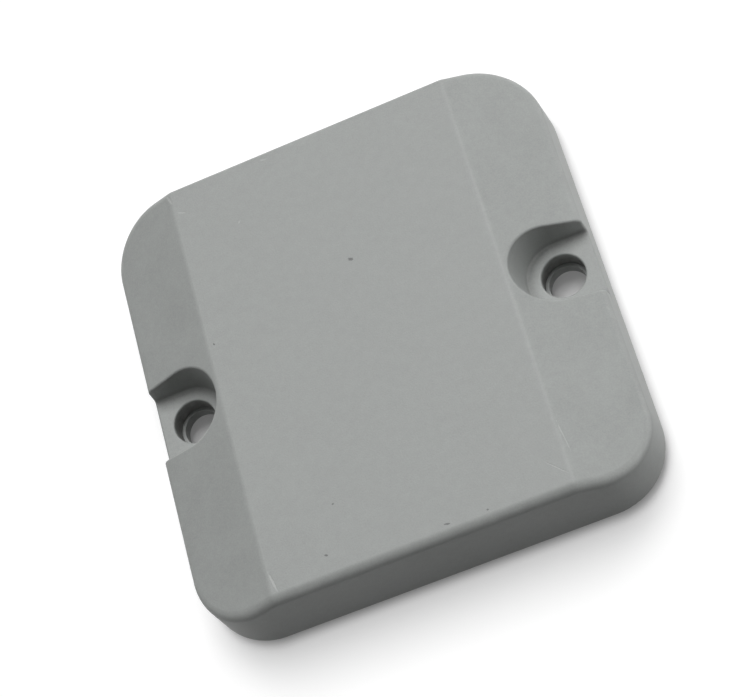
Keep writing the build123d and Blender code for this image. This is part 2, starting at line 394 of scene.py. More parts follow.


# %% [markdown]
# ## The grey cover
# The cover's plastic is the moulded grain with four things on top: a paler line along each ridge,
# part rubbing and part painted highlight that is stronger on the east side; broken paler patches on
# the rounded edges, part rubbing and part painted highlight, over an even painted sheen; painted
# shade where the pocket walls meet the floor and in the screw holes; and the single marks. The
# rounded edges are found by the way they face: neither flat nor upright. Each mark has its place,
# its length and its width, all in millimetres, and its turn in radians.

# %% Grey plastic of the cover
COVER_GREY = (0.304, 0.316, 0.308, 1)
RUB_AND_SHEEN_GREY = (0.47, 0.48, 0.47, 1)
NICK_GREY = (0.55, 0.56, 0.55, 1)
# A near-black grey, painted shade for the pocket corners and the screw holes.
POCKET_SHADE_GREY = (0.10, 0.095, 0.09, 1)
SPECK_GREY = (0.06, 0.06, 0.06, 1)
SPECKS = [((1.3, 8.3), 0.34, 0.24, 0.6), ((-15.7, 4.9), 0.2, 0.12, 1.1),
          ((-9.8, -22.4), 0.24, 0.15, 0.3), ((-7.7, -17.4), 0.16, 0.13, 0.0),
          ((3.0, -23.8), 0.34, 0.12, 0.2), ((7.4, -23.9), 0.14, 0.11, 0.9)]
NICKS = [((-16.6, 24.0), 0.9, 0.16, 1.2), ((-15.5, 21.8), 0.55, 0.12, 0.4),
         ((-9.4, 17.9), 0.35, 0.1, 2.3), ((-5.0, 24.1), 0.5, 0.13, 0.2),
         ((16.9, -19.4), 2.4, 0.09, 1.45), ((15.2, -22.2), 1.6, 0.08, 0.8),
         ((-15.9, -23.0), 1.3, 0.16, 1.35)]


def mark_masks(tree, point, marks):
    """The masks of several single marks on the flat top, put together."""
    total = 0.0
    for (x, y), long, wide, turn in marks:
        mark = place(tree, mark_group, Point=point, Centre=(x, y, TOP_Z), Long=long, Wide=wide,
                     Turn=turn)
        total = larger(tree, total, mark["Mask"])
    return total


def make_cover_finish():
    material, tree, point, facing = start_finish("grey_plastic_cover")
    grain = place(tree, grain_group, Point=point, Colour=COVER_GREY, Grain_Size=0.17,
                  Cloud_Size=7.5, Cloud=0.14, Speckle=0.16, Roughness=0.56)
    at = parts(tree, point)
    up = parts(tree, facing)["Z"]
    on_top = ramp(tree, at["Z"], TOP_Z - 0.5, TOP_Z - 0.2)
    from_ridge = size_of(tree, minus(tree, size_of(tree, at["X"]), RIDGE_X))
    ridge_wear_and_sheen = times(tree, ramp(tree, from_ridge, 0.05, 0.65, 1.0, 0.0), on_top)
    # Painted highlight: the ridge line is made paler towards the east, the side the light comes
    # from.
    ridge_wear_and_sheen = times(tree, ridge_wear_and_sheen, ramp(tree, at["X"], -20.0, 20.0, 0.4, 1.0))
    slanting = times(tree, ramp(tree, up, 0.25, 0.5), ramp(tree, up, 0.78, 0.93, 1.0, 0.0))
    above_floor = ramp(tree, at["Z"], SEAT_Z + 0.6, SEAT_Z + 0.9)
    rounded = times(tree, slanting, above_floor)
    # The paler rounded edges and ridges are partly real rubbing and partly a painted highlight.
    edge = larger(tree, times(tree, rounded, 0.5), times(tree, ridge_wear_and_sheen, 0.25))
    rub = place(tree, rub_group, Point=point, Edge=edge, Patch_Size=3.0, Amount=0.5)["Mask"]
    # An even painted highlight along every rounded edge and ridge, under the broken rubbing.
    painted_sheen = plus(tree, times(tree, ridge_wear_and_sheen, 0.05), times(tree, rounded, 0.08))
    pale = plus(tree, rub, painted_sheen, use_clamp=True)
    colour = blend_colour(tree, pale, grain["Colour"], RUB_AND_SHEEN_GREY)
    nicks = mark_masks(tree, point, NICKS)
    colour = blend_colour(tree, times(tree, nicks, 0.32), colour, NICK_GREY)
    # Painted shade: the near-black tone laid into the pocket corners and the screw holes.
    painted_shade = place(tree, pocket_shade_group, Point=point)["Mask"]
    colour = blend_colour(tree, painted_shade, colour, POCKET_SHADE_GREY)
    specks = mark_masks(tree, point, SPECKS)
    colour = blend_colour(tree, times(tree, specks, 0.75), colour, SPECK_GREY)
    roughness = minus(tree, grain["Roughness"], times(tree, pale, 0.12))
    height = minus(tree, grain["Height"], times(tree, nicks, 1.5))
    end_finish(tree, colour, roughness, height, height_mm=0.012)
    return material


cover_finish = make_cover_finish()

# %% [markdown]
# The CAD model's mesh is loose triangles, each with its own corners. Baking and rubbing both want
# one joined skin, so a copy is merged and then given the CAD's own corner normals back. These are
# the true directions of the rounded surfaces, which no smoothing could guess as well.

# %% One joined skin from a CAD node
JOIN_WITHIN = 0.0005 * MM


def in_scene(name, data):
    """A new object that stands in the scene."""
    thing = bpy.data.objects.new(name, data)
    bpy.context.scene.collection.objects.link(thing)
    return thing


def joined_skin(node, name, material):
    """A merged copy of a CAD node that replaces it, with its normals kept."""
    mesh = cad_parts[node].data.copy()
    mesh.name = name
    kept = mesh.attributes.new("cad_normal", "FLOAT_VECTOR", "CORNER")
    kept.data.foreach_set("vector", [c for n in mesh.corner_normals for c in n.vector])
    skin = bmesh.new()
    skin.from_mesh(mesh)
    before = len(skin.verts)
    bmesh.ops.remove_doubles(skin, verts=skin.verts, dist=JOIN_WITHIN)
    print(name, "points", before, "->", len(skin.verts), "faces", len(skin.faces))
    skin.to_mesh(mesh)
    skin.free()
    normals = [d.vector.copy() for d in mesh.attributes["cad_normal"].data]
    mesh.attributes.remove(mesh.attributes["cad_normal"])
    mesh.shade_smooth()
    mesh.normals_split_custom_set(normals)
    mesh.materials.clear()
    mesh.materials.append(material)
    piece = in_scene(name, mesh)
    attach(piece, "tag")
    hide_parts(node)


joined_skin("top_cover", "cover_skin", cover_finish)

# %% [markdown]
# ## The back plate and the other grey plastic
# Plate, rim and weld are the same resin as the cover but came from other tools: the plate's mould
# is smoother, and the weld is resin that melted and set again, glossier and a little darker.


# %% Grey plastic of the plate and of the weld
def make_plate_finish(name, colour, roughness, cloud):
    material, tree, point, facing = start_finish(name)
    grain = place(tree, grain_group, Point=point, Colour=colour, Grain_Size=0.14, Cloud_Size=5.0,
                  Cloud=cloud, Speckle=0.08, Roughness=roughness)
    up = parts(tree, facing)["Z"]
    edge = times(tree, ramp(tree, up, -0.95, -0.75), ramp(tree, up, -0.5, -0.2, 1.0, 0.0))
    rub = place(tree, rub_group, Point=point, Edge=edge, Patch_Size=2.0, Amount=0.45)["Mask"]
    colour = blend_colour(tree, rub, grain["Colour"], RUB_AND_SHEEN_GREY)
    end_finish(tree, colour, grain["Roughness"], grain["Height"], height_mm=0.008)
    return material


plate_finish = make_plate_finish(
    "grey_plastic_plate", colour=(0.31, 0.322, 0.314, 1), roughness=0.5, cloud=0.06)
weld_finish = make_plate_finish(
    "grey_plastic_weld", colour=(0.22, 0.23, 0.225, 1), roughness=0.34, cloud=0.16)
joined_skin("back_plate", "plate_skin", plate_finish)

# %% [markdown]
# ## Trees that follow a path
# Both the weld and the tape follow the tag's rounded square, so each is one Geometry Nodes tree.
# The helpers here make a tree's sockets, and turn its evaluated result into a plain mesh. The
# modifier's inputs are set by their sockets' identifiers before anything is evaluated.

# %% Helpers for Geometry Nodes
SHARP_FROM = radians(42)


def start_tree(name, inputs):
    """An empty Geometry Nodes tree with named inputs: (tree, its inputs, its output socket)."""
    tree = bpy.data.node_groups.new(name, "GeometryNodeTree")
    kinds = {"float": "NodeSocketFloat", "int": "NodeSocketInt", "geometry": "NodeSocketGeometry",
             "material": "NodeSocketMaterial"}
    for label, kind in inputs:
        tree.interface.new_socket(label, in_out="INPUT", socket_type=kinds[kind])
    tree.interface.new_socket("Geometry", in_out="OUTPUT", socket_type=kinds["geometry"])
    given = tree.nodes.new("NodeGroupInput").outputs
    return tree, given, tree.nodes.new("NodeGroupOutput").inputs["Geometry"]


def end_tree(tree, geometry, finish, out):
    """Real geometry and its finish, as the last two steps of every tree."""
    real = out_of(tree, "GeometryNodeRealizeInstances", {"Geometry": geometry})
    wire(tree, out_of(tree, "GeometryNodeSetMaterial", {"Geometry": real, "Material": finish}), out)


def together(tree, *geometries):
    """Several geometries as one."""
    join = add(tree, "GeometryNodeJoinGeometry")
    for geometry in geometries:
        tree.links.new(geometry, join.inputs[0])
    return join.outputs[0]


def shifted(tree, geometry, offset, **inputs):
    """The geometry with its points moved by an offset."""
    inputs |= {"Geometry": geometry, "Offset": offset}
    return out_of(tree, "GeometryNodeSetPosition", inputs)


def lifted(tree, geometry, height):
    """The geometry moved up as a whole."""
    up = out_of(tree, "ShaderNodeCombineXYZ", {"Z": height})
    return out_of(tree, "GeometryNodeTransform", {"Geometry": geometry, "Translation": up})


def evenly(tree, curve, length):
    """The curve with points at one spacing."""
    inputs = {"Curve": curve, "Length": length}
    return out_of(tree, "GeometryNodeResampleCurve", inputs, mode="LENGTH")


def rounded_rectangle(tree, width, height, radius, steps):
    """A rectangle as a curve, with each corner rounded in steps."""
    size = {"Width": width, "Height": height}
    sharp = out_of(tree, "GeometryNodeCurvePrimitiveQuadrilateral", size)
    return out_of(tree, "GeometryNodeFilletCurve",
                  {"Curve": sharp, "Radius": radius, "Count": steps}, mode="POLY")


def grow(name, tree, outlines=(), **values):
    """The plain mesh that a tree makes from closed outlines and its named values."""
    source = bpy.data.meshes.new(name + "_outline")
    points, edges = [], []
    for loop in outlines:
        first = len(points)
        points += [(x, y, 0) for x, y in loop]
        edges += [(first + i, first + (i + 1) % len(loop)) for i in range(len(loop))]
    source.from_pydata(points, edges, [])
    holder = in_scene(name + "_outline", source)
    maker = holder.modifiers.new("tree", "NODES")
    maker.node_group = tree
    sockets = {i.name: i.identifier for i in tree.interface.items_tree if i.in_out == "INPUT"}
    for label, value in values.items():
        maker[sockets[label.replace("_", " ")]] = value
    depsgraph = bpy.context.evaluated_depsgraph_get()
    mesh = bpy.data.meshes.new_from_object(holder.evaluated_get(depsgraph))
    holder.modifiers.remove(maker)
    bpy.data.objects.remove(holder)
    bpy.data.meshes.remove(source)
    mesh.name = name
    print(name, "faces", len(mesh.polygons))
    return mesh


def settle(name, mesh, body, slot, *nodes):
    """A made mesh as a piece of the tag, in place of the CAD nodes that it stands for."""
    mesh.shade_smooth()
    mesh.set_sharp_from_angle(angle=SHARP_FROM)
    piece = in_scene(name, mesh)
    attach(piece, body)
    if nodes:
        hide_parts(*nodes)
    return piece


# %% [markdown]
# The weld is a ring of resin that a vibrating or heated tool melted at the bottom of the seam. It
# could be a smooth ring, but real melt sets in lumps and leaves small nibs of flash standing in
# the groove. The tree sweeps a small rounded bar along the seam, roughens its free face with
# noise, and strews nibs along it from a fixed seed.

# %% The weld in the seam
WELD_INPUTS = [("Side", "float"), ("Corner Radius", "float"), ("Width", "float"),
               ("Height", "float"), ("Middle", "float"), ("Lumps", "float"),
               ("Nib Size", "float"), ("Nibs", "int"), ("Seed", "int"), ("Finish", "material")]
WELD_STEP = 0.25 * MM
WELD_ROUNDING = 0.1 * MM
LUMP_SIZE = 0.625 * MM
NIB_TURN = (0.5, 0.5, 6.28)
NIB_LEAST = 0.35
RESULTS = {"FLOAT_VECTOR": 0, "FLOAT": 1, "BOOLEAN": 3}


def chance(tree, kind, limits, seed):
    """A random value for each point: a number, a vector, or yes or no."""
    node = add(tree, "FunctionNodeRandomValue", limits | {"Seed": seed}, data_type=kind)
    return node.outputs[RESULTS[kind]]


def make_nibs(tree, path, given):
    """Small balls of flash along the weld, each with its own size and turn."""
    seed = given["Seed"]
    count = {"Curve": path, "Count": given["Nibs"]}
    spots = out_of(tree, "GeometryNodeResampleCurve", count, mode="COUNT")
    ball = {"Radius": given["Nib Size"], "Subdivisions": 2}
    return out_of(tree, "GeometryNodeInstanceOnPoints", {
        "Points": spots, "Instance": out_of(tree, "GeometryNodeMeshIcoSphere", ball),
        "Selection": chance(tree, "BOOLEAN", {"Probability": 0.5}, seed),
        "Rotation": chance(tree, "FLOAT_VECTOR", {0: (0, 0, 0), 1: NIB_TURN}, seed),
        "Scale": chance(tree, "FLOAT", {2: NIB_LEAST, 3: 1.0}, seed)})


def make_weld_tree():
    tree, given, out = start_tree("weld along the seam", WELD_INPUTS)
    side = given["Side"]
    path = rounded_rectangle(tree, side, side, given["Corner Radius"], steps=40)
    bar = rounded_rectangle(tree, given["Width"], given["Height"], WELD_ROUNDING, steps=3)
    along = {"Curve": evenly(tree, path, WELD_STEP), "Profile Curve": bar}
    sweep = out_of(tree, "GeometryNodeCurveToMesh", along)
    at = out_of(tree, "GeometryNodeInputPosition")
    free = out_of(tree, "FunctionNodeCompare", {0: parts(tree, at)["Z"], 1: 0.0},
                  data_type="FLOAT", operation="LESS_THAN")
    lumps = times(tree, noise(tree, at, LUMP_SIZE, 3.0), given["Lumps"])
    sag = out_of(tree, "ShaderNodeCombineXYZ", {"Z": times(tree, lumps, -1.0)})
    lumpy = shifted(tree, sweep, sag, Selection=free)
    low = out_of(tree, "ShaderNodeCombineXYZ", {"Z": times(tree, given["Height"], -0.5)})
    nibs = shifted(tree, make_nibs(tree, path, given), low)
    placed = lifted(tree, together(tree, lumpy, nibs), given["Middle"])
    end_tree(tree, placed, given["Finish"], out)
    return tree


weld_side = 2 * bead_high.x - SEAM_WIDTH * MM
weld_radius = (CORNER_RADIUS - (SIDE * MM - weld_side) / 2 / MM) * MM
weld_mesh = grow("weld_ring", told(make_weld_tree()), Side=weld_side, Corner_Radius=weld_radius,
                 Width=SEAM_WIDTH * MM, Height=bead_high.z - bead_low.z,
                 Middle=(bead_low.z + bead_high.z) / 2, Lumps=0.16 * MM, Nib_Size=0.11 * MM,
                 Nibs=150, Seed=4, Finish=weld_finish)
settle("weld_ring", weld_mesh, "tag", "grey_plastic", "weld_bead")

# %% [markdown]
# ## The tape and its liner
# A die cuts all layers of the tape in one stroke, so they share one outline: a rounded square with
# a U-shaped notch round each screw hole. It could be drawn as a curve with handles, but points
# worked out from the CAD source's own sizes lie exactly on its edge.

# %% The die's outline
TAPE_RADIUS = 4.8
NOTCH_RADIUS = 4.4
NOTCH_X = 20.7


def arc(x, y, radius, start, end, steps):
    """Points along an arc, from one angle to another, in degrees."""
    turns = [radians(start + (end - start) * i / steps) for i in range(steps + 1)]
    return [(x + radius * cos(t), y + radius * sin(t)) for t in turns]


def die_outline(half):
    """The tape's outline, anticlockwise. Its second half is the first, turned half round."""
    middle = half - TAPE_RADIUS
    notch = arc(NOTCH_X, 0, NOTCH_RADIUS, 270, 90, steps=48)
    right = [(half, -NOTCH_RADIUS), *notch, (half, NOTCH_RADIUS)]
    upper = [point for x, start in ((middle, 0), (-middle, 90))
             for point in arc(x, middle, TAPE_RADIUS, start, start + 90, steps=24)]
    return [(x * side * MM, y * side * MM) for side in (1, -1) for x, y in right + upper]


tape_outline = die_outline(tape_high.x / MM)
print("outline points", len(tape_outline))

# %% [markdown]
# Each layer is an outline raised to its own thickness. One step would do for a stiff film, but cut
# foam is torn where the die passed and a pressed cushion bulges. So the tree fills the outline,
# raises it in six thin rows, and moves the rows' points in and out. A film has that set to nothing.

# %% The tree that raises a layer from its outline
LAYER_INPUTS = [("Geometry", "geometry"), ("Low", "float"), ("High", "float"), ("Step", "float"),
                ("Ragged", "float"), ("Cell", "float"), ("Bulge", "float"), ("Finish", "material")]
ROWS = 6
MERGE_WITHIN = 0.001 * MM


def raised_in_rows(tree, flat, thick):
    """A closed block raised from a flat shape row by row, so its side has points to move."""
    row = out_of(tree, "ShaderNodeCombineXYZ", {"Z": over(tree, thick, ROWS)})
    raised, top = flat, {}
    for _ in range(ROWS):
        inputs = {"Mesh": raised, "Offset": row, "Offset Scale": 1.0, "Individual": False} | top
        step = add(tree, "GeometryNodeExtrudeMesh", inputs, mode="FACES").outputs
        raised, top = step["Mesh"], {"Selection": step["Top"]}
    under = out_of(tree, "GeometryNodeFlipFaces", {"Mesh": flat})
    block = {"Geometry": together(tree, raised, under), "Distance": MERGE_WITHIN}
    return out_of(tree, "GeometryNodeMergeByDistance", block)


def make_layer_tree():
    tree, given, out = start_tree("layer from an outline", LAYER_INPUTS)
    loop = out_of(tree, "GeometryNodeMeshToCurve", {"Mesh": given["Geometry"]})
    outline = {"Curve": evenly(tree, loop, given["Step"])}
    flat = out_of(tree, "GeometryNodeFillCurve", outline, mode="NGONS")
    thick = minus(tree, given["High"], given["Low"])
    block = raised_in_rows(tree, flat, thick)
    at = out_of(tree, "GeometryNodeInputPosition")
    level = over(tree, parts(tree, at)["Z"], thick)
    swell = times(tree, sine(tree, times(tree, level, pi)), given["Bulge"])
    fine = noise(tree, at, given["Cell"], 3.0, 0.7)
    torn = times(tree, minus(tree, fine, 1.0), given["Ragged"])
    facing = out_of(tree, "GeometryNodeInputNormal")
    outward = unit(tree, stretched(tree, facing, (1, 1, 0)))
    shaped = shifted(tree, block, scaled(tree, outward, plus(tree, swell, torn)))
    end_tree(tree, lifted(tree, shaped, given["Low"]), given["Finish"], out)
    return tree


layer_tree = told(make_layer_tree())

# %% [markdown]
# A film or foil that ran over rollers keeps their marks: fine lines close together, and now and
# then one long straight scratch. Noise pulled out along Y gives the lines. The scratches lie in
# lanes, one to a lane at a place that chance picks, because pulled-out noise would draw blotches.
# The liner, the adhesive and the foil all use this group, each with its own values.

# %% Lines along a roll
LINES_FROM = (3.0, 3.0, 3.0)
SCRATCH_LEAN = 0.03
SCRATCH_RUN = 11.0
LANE_SHIFT = 7.3


def drawn_out(tree, point, pitch, length):
    """Noise pulled out along Y: its streaks are a pitch wide and a length long."""
    across, along = over(tree, 1.0, pitch), over(tree, 1.0, length)
    scale = out_of(tree, "ShaderNodeCombineXYZ", {"X": across, "Y": along, "Z": along})
    return noise(tree, moved(tree, stretched(tree, point, scale), LINES_FROM), 1.0)


def make_lines_group():
    tree, given, out = start_group(
        "rolled lines",
        [("Point", "vector", None), ("Pitch", "float", 0.35), ("Length", "float", 30.0),
         ("Scratch Pitch", "float", 5.0)],
        [("Lines", "float"), ("Scratches", "float")])
    lines = drawn_out(tree, given["Point"], given["Pitch"], given["Length"])
    wire(tree, lines, out.inputs["Lines"])
    at = parts(tree, given["Point"])
    leaning = plus(tree, at["X"], times(tree, at["Y"], SCRATCH_LEAN))
    counted = over(tree, leaning, given["Scratch Pitch"])
    lane = whole(tree, counted)
    picked = add(tree, "ShaderNodeTexWhiteNoise", {"W": lane}, noise_dimensions="1D")
    middle = plus(tree, 0.15, times(tree, picked.outputs["Value"], 0.7))
    apart = size_of(tree, minus(tree, minus(tree, counted, lane), middle))
    thin = ramp(tree, times(tree, apart, given["Scratch Pitch"]), 0.02, 0.07, 1.0, 0.0)
    place_on_it = {"X": times(tree, lane, LANE_SHIFT), "Y": over(tree, at["Y"], SCRATCH_RUN)}
    along = out_of(tree, "ShaderNodeCombineXYZ", place_on_it)
    shown = ramp(tree, noise(tree, along, 1.0, 4.0), 0.46, 0.62)
    wire(tree, times(tree, thin, shown), out.inputs["Scratches"])
    return tree


lines_group = told(make_lines_group())

# %% [markdown]
# The liner is a thin red film that covers the adhesive until the tag is stuck down. Its outer side
# is glossy and slightly puckered, so the shine of a window breaks into patches: wide soft waves in
# the bump do that, and a fine grain makes the patches' borders sparkle. The side towards the
# adhesive has a satin release coating, so the roughness goes by which way a face looks.

# %% Red film of the liner
DEEP_RED, PALE_RED = (0.235, 0.013, 0.015, 1), (0.268, 0.019, 0.020, 1)
LINE_RED, SCRATCH_PINK = (0.33, 0.045, 0.045, 1), (0.5, 0.2, 0.2, 1)


def make_liner_finish():
    material, tree, point, facing = start_finish("red_liner_film")
    lines = place(tree, lines_group, Point=point, Pitch=0.3, Length=40.0, Scratch_Pitch=4.2)
    cloud = noise(tree, point, 9.0, 4.0, 0.6, 0.5)
    base = blend_colour(tree, clouded(tree, cloud), DEEP_RED, PALE_RED)
    line = times(tree, ramp(tree, lines["Lines"], 0.4, 0.65), 0.22)
    striped = blend_colour(tree, line, base, LINE_RED)
    colour = blend_colour(tree, times(tree, lines["Scratches"], 0.4), striped, SCRATCH_PINK)
    satin = ramp(tree, parts(tree, facing)["Z"], 0.2, 0.8, 0.0, 0.42)
    gloss = plus(tree, 0.08, times(tree, clouded(tree, cloud), 0.07))
    grain = noise(tree, point, 0.22, 4.0, 0.7)
    wave = noise(tree, point, 6.0, 3.0, 0.55)
    fine = plus(tree, times(tree, grain, 0.09), times(tree, lines["Lines"], 0.03))
    end_finish(tree, colour, plus(tree, gloss, satin), plus(tree, wave, fine), height_mm=0.06)
    return material


liner_finish = make_liner_finish()
liner_mesh = grow("liner_film", layer_tree, [tape_outline], Low=liner_low.z, High=liner_high.z,
                  Step=0.3 * MM, Ragged=0.0, Cell=1 * MM, Bulge=0.0, Finish=liner_finish)
settle("liner_film", liner_mesh, "liner", "red_liner", "release_liner")

# %% [markdown]
# The tape's carrier is a dark closed-cell foam. Only its edge shows, as a fine dark line, but in
# the notches one looks straight at it: round cells a tenth of a millimetre across, cut open. Spots
# of noise would have no walls, so a pattern of cells does it: how far a point is from a cell's
# edge tells the wall from the hollow, and the hollow is painted darker, as the shade inside a cell.


# %% Foam cells
def make_cells_group():
    tree, given, out = start_group(
        "foam cells",
        [("Point", "vector", None), ("Cell Size", "float", 0.15),
         ("Wall", "colour", (0.05, 0.05, 0.05, 1)), ("Hollow", "colour", (0.01, 0.01, 0.01, 1))],
        [("Colour", "colour"), ("Height", "float")])
    inputs = {"Vector": given["Point"], "Scale": over(tree, 1.0, given["Cell Size"]),
              "Randomness": 0.9}
    cells = add(tree, "ShaderNodeTexVoronoi", inputs, feature="DISTANCE_TO_EDGE")
    hollow = ramp(tree, cells.outputs["Distance"], 0.04, 0.22)
    cloud = clouded(tree, noise(tree, given["Point"], 2.0, 3.0), 0.82, 1.0)
    # Painted shade: the hollows get the darker colour, as shade inside each cut cell.
    shade = blend_colour(tree, hollow, given["Wall"], given["Hollow"])
    wire(tree, scaled(tree, shade, cloud), out.inputs["Colour"])
    wire(tree, minus(tree, 1.0, hollow), out.inputs["Height"])
    return tree


cells_group = told(make_cells_group())

# %% [markdown]
# Foam is that cell pattern with its own two colours, the darker one painted shade in the hollows,
# and hardly any shine. Adhesive is clear and tacky: glossy, with a faint unevenness from the
# coating roll. A film so thin shows the colour of what it lies on, so it gets that colour instead
# of real
# glass: dark on the tape's foam, pale on the pieces inside.


# %% Foam and adhesive
def make_foam_finish(name, wall, hollow, cell, height_mm):
    material, tree, point, _ = start_finish(name)
    cells = place(tree, cells_group, Point=point, Cell_Size=cell, Wall=wall, Hollow=hollow)
    rough = clouded(tree, noise(tree, point, 1.5), 0.8, 0.95)
    end_finish(tree, cells["Colour"], rough, cells["Height"], height_mm)
    return material


def make_adhesive_finish(name, low, high, streaked):
    material, tree, point, _ = start_finish(name)
    streak = place(tree, lines_group, Point=point, Pitch=0.8, Length=25.0)
    cloud = noise(tree, point, 4.0, 4.0)
    tint = blend_colour(tree, clouded(tree, cloud), low, high)
    colour = blend_colour(tree, times(tree, streak["Lines"], 0.2), tint, streaked)
    rough = ramp(tree, noise(tree, point, 1.2, 3.0), 0.35, 0.65, 0.16, 0.34)
    end_finish(tree, colour, rough, plus(tree, cloud, streak["Lines"]), height_mm=0.03)
    return material


tape_foam_finish = make_foam_finish(
    "tape_foam_cells", wall=(0.05, 0.05, 0.053, 1), hollow=(0.015, 0.015, 0.016, 1), cell=0.13,
    height_mm=0.06)
tape_adhesive_finish = make_adhesive_finish(
    "adhesive_on_foam", low=(0.045, 0.045, 0.047, 1), high=(0.06, 0.06, 0.062, 1),
    streaked=(0.075, 0.075, 0.077, 1))
adhesive_finish = make_adhesive_finish(
    "adhesive_inside", low=(0.52, 0.52, 0.46, 1), high=(0.6, 0.6, 0.54, 1),
    streaked=(0.46, 0.46, 0.41, 1))
foam_mesh = grow("tape_carrier", layer_tree, [tape_outline], Low=tape_low.z, High=tape_high.z,
                 Step=0.14 * MM, Ragged=0.09 * MM, Cell=0.22 * MM, Bulge=0.0,
                 Finish=tape_foam_finish)
carrier = settle("tape_carrier", foam_mesh, "tag", "tape_foam", "tape_foam")

# %% [markdown]
# ## What is inside
# The antenna, its strap and the cushion are hidden by the closed cover, but the part may be taken
# apart on screen, so each has its own finish. The cushion is soft foam, so a plain block won't do:
# it is made again from its outline, with a window round the strap and a side that bulges a little
# under the cover's pressure.

# %% The cushion
BULGE = 0.12
CUSHION_RADIUS = 2.0
WINDOW_WIDTH, WINDOW_LENGTH, WINDOW_Y = 5.4, 10.4, -13.0


def cushion_outline():
    """The cushion's rounded rectangle, drawn in by the bulge."""
    r = CUSHION_RADIUS
    x, y = cushion_high.x / MM - BULGE - r, cushion_high.y / MM - BULGE - r
    corners = ((x, y, 0), (-x, y, 90), (-x, -y, 180), (x, -y, 270))
    return [(px * MM, py * MM) for cx, cy, turn in corners
            for px, py in arc(cx, cy, r, turn, turn + 90, steps=12)]


def window_outline():
    """The rectangular window round the strap, clockwise."""
    x, y = WINDOW_WIDTH / 2, WINDOW_LENGTH / 2
    corners = ((-x, -y), (-x, y), (x, y), (x, -y))
    return [(cx * MM, (WINDOW_Y + cy) * MM) for cx, cy in corners]


cushion_finish = make_foam_finish(
    "cushion_foam_cells", wall=(0.66, 0.66, 0.64, 1), hollow=(0.46, 0.46, 0.45, 1), cell=0.3,
    height_mm=0.08)
cushion_mesh = grow("cushion_pad", layer_tree, [cushion_outline(), window_outline()],
                    Low=cushion_low.z, High=cushion_high.z, Step=0.35 * MM, Ragged=0.03 * MM,
                    Cell=0.4 * MM, Bulge=BULGE * MM, Finish=cushion_finish)
cushion = settle("cushion_pad", cushion_mesh, "tag", "cushion_foam", "foam_pad")

# %% [markdown]
# The other inner pieces are stiff or thin, so their CAD shapes are right and only the surface is
# made better: rolled foil, clear polyester film, the pale moulded core, and the strap's specks of
# glue, plating, resin and silicon. The specks share one maker with different values, because at
# their size a real surface shows little more than two tones and a grain.


# %% Finishes of the inner pieces
def make_foil_finish():
    material, tree, point, _ = start_finish("rolled_foil")
    lines = place(tree, lines_group, Point=point, Pitch=0.12, Length=12.0)
    cloud = noise(tree, point, 5.0, 3.0)
    dark, pale = (0.76, 0.76, 0.77, 1), (0.86, 0.86, 0.87, 1)
    colour = blend_colour(tree, clouded(tree, cloud), dark, pale)
    rough = plus(tree, 0.2, times(tree, lines["Lines"], 0.22))
    height = plus(tree, lines["Lines"], times(tree, cloud, 0.6))
    end_finish(tree, colour, rough, height, height_mm=0.008, Metallic=1.0)
    return material


def make_film_finish():
    material, tree, point, _ = start_finish("clear_polyester")
    cloud = noise(tree, point, 6.0, 3.0)
    dark, pale = (0.66, 0.64, 0.56, 1), (0.74, 0.72, 0.64, 1)
    colour = blend_colour(tree, clouded(tree, cloud), dark, pale)
    rough = clouded(tree, noise(tree, point, 1.5, 3.0), 0.1, 0.2)
    end_finish(tree, colour, rough, cloud, height_mm=0.02)
    return material


def make_core_finish():
    material, tree, point, _ = start_finish("natural_moulded_core")
    grain = place(tree, grain_group, Point=point, Colour=(0.78, 0.77, 0.72, 1), Grain_Size=0.25,
                  Cloud_Size=9.0, Cloud=0.08, Speckle=0.05, Roughness=0.45)
    end_finish(tree, grain["Colour"], grain["Roughness"], grain["Height"], height_mm=0.012)
    return material


def make_small_finish(name, dark, pale, size, rough, height_mm, metallic=0.0):
    """A finish for the strap's tiny pieces: two tones, a grain and a roughness that varies."""
    material, tree, point, _ = start_finish(name)
    grain = noise(tree, point, size, 4.0, 0.6)
    colour = blend_colour(tree, clouded(tree, grain), dark, pale)
    uneven = clouded(tree, noise(tree, point, size * 2), rough * 0.8, rough * 1.2)
    end_finish(tree, colour, uneven, grain, height_mm, Metallic=metallic)
    return material


foil_finish, film_finish, core_finish = make_foil_finish(), make_film_finish(), make_core_finish()
glue_finish = make_small_finish(
    "silver_filled_glue", dark=(0.28, 0.28, 0.29, 1), pale=(0.5, 0.5, 0.51, 1), size=0.05,
    rough=0.5, height_mm=0.02, metallic=0.4)
bump_finish = make_small_finish(
    "plated_bump", dark=(0.72, 0.5, 0.18, 1), pale=(0.86, 0.64, 0.28, 1), size=0.03, rough=0.28,
    height_mm=0.003, metallic=1.0)
resin_finish = make_small_finish(
    "cured_resin", dark=(0.03, 0.03, 0.03, 1), pale=(0.06, 0.06, 0.06, 1), size=0.1, rough=0.2,
    height_mm=0.006)
silicon_finish = make_small_finish(
    "polished_silicon", dark=(0.08, 0.08, 0.10, 1), pale=(0.12, 0.12, 0.145, 1), size=0.2,
    rough=0.12, height_mm=0.002)

# %% [markdown]
# A CAD piece that stays in the picture gets its finish by a change of material, slot by slot. Its
# mesh isn't touched, so it keeps the exact shape of the solid.

